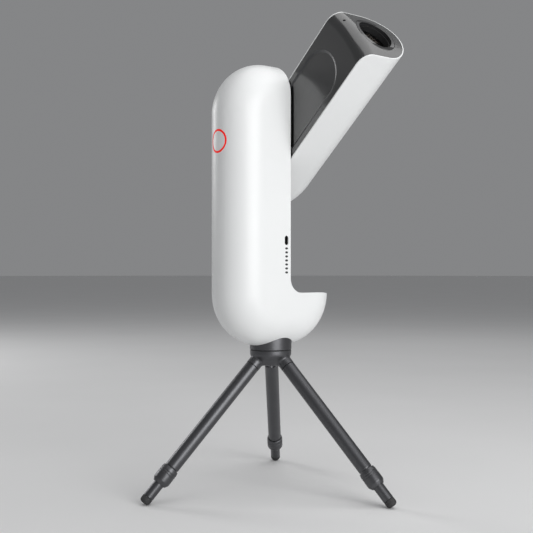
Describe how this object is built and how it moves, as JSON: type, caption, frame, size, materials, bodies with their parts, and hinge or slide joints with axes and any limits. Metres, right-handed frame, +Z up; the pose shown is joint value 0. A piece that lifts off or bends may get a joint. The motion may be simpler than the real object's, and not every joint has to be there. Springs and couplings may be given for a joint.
{
  "type": "smart telescope on tripod",
  "caption": "Compact motorised telescope: a pill-shaped body whose optical arm swings out, turning on a short tripod with telescopic legs.",
  "frame": {"origin": "on the ground plane, in the middle of the standing object's footprint box", "axes": "+Z up; -Y is the front, towards which the open arm leans; the pillar is on the -X side and the arm on the +X side"},
  "size_m": [0.327, 0.3392, 0.6629],
  "materials": {
    "white_gloss": "glossy white moulded plastic",
    "dark_cover": "satin dark grey moulded plastic",
    "graphite_metal": "dark grey anodised metal, satin",
    "black_plastic": "matte black plastic",
    "rubber": "matte black rubber",
    "aluminium": "machined",
    "steel": "ground",
    "brass": "machined",
    "glass": "coated optical glass",
    "red_light": "translucent red light ring",
    "circuit_board": "green solder mask",
    "battery_wrap": "shrink-wrapped battery"
  },
  "bodies": {
    "tripod": {"tripod_crown": "graphite_metal", "crown_top_pad": "rubber", "tripod_screw": "steel", "leg_tube_1": "graphite_metal", "leg_tube_2": "graphite_metal", "leg_tube_3": "graphite_metal", "base_neck": "graphite_metal", "azimuth_ring_gear": "steel", "azimuth_bearing_inner": "steel"},
    "collar_1": {"lock_collar_1": "graphite_metal"},
    "collar_2": {"lock_collar_2": "graphite_metal"},
    "collar_3": {"lock_collar_3": "graphite_metal"},
    "lower_leg_1": {"lower_leg_1": "graphite_metal", "rubber_foot_1": "rubber"},
    "lower_leg_2": {"lower_leg_2": "graphite_metal", "rubber_foot_2": "rubber"},
    "lower_leg_3": {"lower_leg_3": "graphite_metal", "rubber_foot_3": "rubber"},
    "pillar": {"pillar_shell": "white_gloss", "pillar_inner_cover": "dark_cover", "cover_screw_1": "steel", "cover_screw_2": "steel", "cover_screw_3": "steel", "cover_screw_4": "steel", "chassis_frame": "aluminium", "azimuth_bearing_outer": "steel", "azimuth_motor": "aluminium", "altitude_bearing_housing": "aluminium", "altitude_bearing_1": "steel", "altitude_bearing_2": "steel", "altitude_motor": "aluminium", "button_ring_light": "red_light", "button_board": "circuit_board", "button_switch": "black_plastic", "main_board": "circuit_board", "usb_c_socket": "steel", "battery_pack": "battery_wrap"},
    "azimuth_pinion": {"azimuth_pinion": "brass"},
    "altitude_pinion": {"altitude_pinion": "brass"},
    "power_button": {"power_button": "white_gloss"},
    "arm": {"arm_shell": "white_gloss", "arm_inner_cover": "dark_cover", "lens_ring": "dark_cover", "lens_barrel": "aluminium", "objective_lens_1": "glass", "objective_lens_2": "glass", "objective_lens_3": "glass", "objective_lens_4": "glass", "arm_chassis": "aluminium", "altitude_shaft": "steel", "altitude_gear": "steel", "focus_rail_1": "steel", "focus_rail_2": "steel", "focus_motor": "aluminium"},
    "focus_carriage": {"focus_carriage": "black_plastic", "image_sensor_board": "circuit_board"},
    "focus_screw": {"focus_screw": "steel"}
  },
  "joints": [
    {"name": "azimuth", "type": "hinge", "parent": "tripod", "child": "pillar", "pos_m": [0.0302, 0.0191, 0.234], "axis": [0, 0, 1], "continuous": true},
    {"name": "azimuth_pinion_spin", "type": "hinge", "parent": "pillar", "child": "azimuth_pinion", "pos_m": [-0.00355, 0.0191, 0.234], "axis": [0, 0, 1], "continuous": true},
    {"name": "altitude", "type": "hinge", "parent": "pillar", "child": "arm", "pos_m": [0.0302, 0.0191, 0.4943], "axis": [1, 0, 0], "range_deg": [-50, 130]},
    {"name": "altitude_pinion_spin", "type": "hinge", "parent": "pillar", "child": "altitude_pinion", "pos_m": [-0.0208, 0.0191, 0.4568], "axis": [1, 0, 0], "range_deg": [-520, 200]},
    {"name": "focus_slide", "type": "slide", "parent": "arm", "child": "focus_carriage", "axis": [0, -0.766, 0.6428], "range_m": [-0.003, 0.003]},
    {"name": "focus_screw_spin", "type": "hinge", "parent": "arm", "child": "focus_screw", "pos_m": [0.0497, 0.0191, 0.4943], "axis": [0, -0.766, 0.6428], "range_deg": [-361, 361]},
    {"name": "power_button_press", "type": "slide", "parent": "pillar", "child": "power_button", "axis": [1, 0, 0], "range_m": [0, 0.0009], "stiffness_N_per_m": 1200, "springref_m": -0.0003},
    {"name": "leg_1_slide", "type": "slide", "parent": "tripod", "child": "lower_leg_1", "axis": [0.4501, 0.5124, -0.7314], "range_m": [0, 0.115]},
    {"name": "leg_2_slide", "type": "slide", "parent": "tripod", "child": "lower_leg_2", "axis": [-0.6688, 0.1336, -0.7314], "range_m": [0, 0.115]},
    {"name": "leg_3_slide", "type": "slide", "parent": "tripod", "child": "lower_leg_3", "axis": [0.2187, -0.646, -0.7314], "range_m": [0, 0.115]},
    {"name": "collar_1_twist", "type": "hinge", "parent": "tripod", "child": "collar_1", "pos_m": [0.04934, 0.04089, 0.179], "axis": [0.4501, 0.5124, -0.7314], "range_deg": [0, 90]},
    {"name": "collar_2_twist", "type": "hinge", "parent": "tripod", "child": "collar_2", "pos_m": [0.00176, 0.02478, 0.179], "axis": [-0.6688, 0.1336, -0.7314], "range_deg": [0, 90]},
    {"name": "collar_3_twist", "type": "hinge", "parent": "tripod", "child": "collar_3", "pos_m": [0.0395, -0.00837, 0.179], "axis": [0.2187, -0.646, -0.7314], "range_deg": [0, 90]}
  ],
  "couplings": [
    {"joint": "azimuth_pinion_spin", "follows": "azimuth", "ratio": 4},
    {"joint": "altitude_pinion_spin", "follows": "altitude", "ratio": -4},
    {"joint": "focus_screw_spin", "follows": "focus_slide", "rad_per_m": 2094.4}
  ]
}
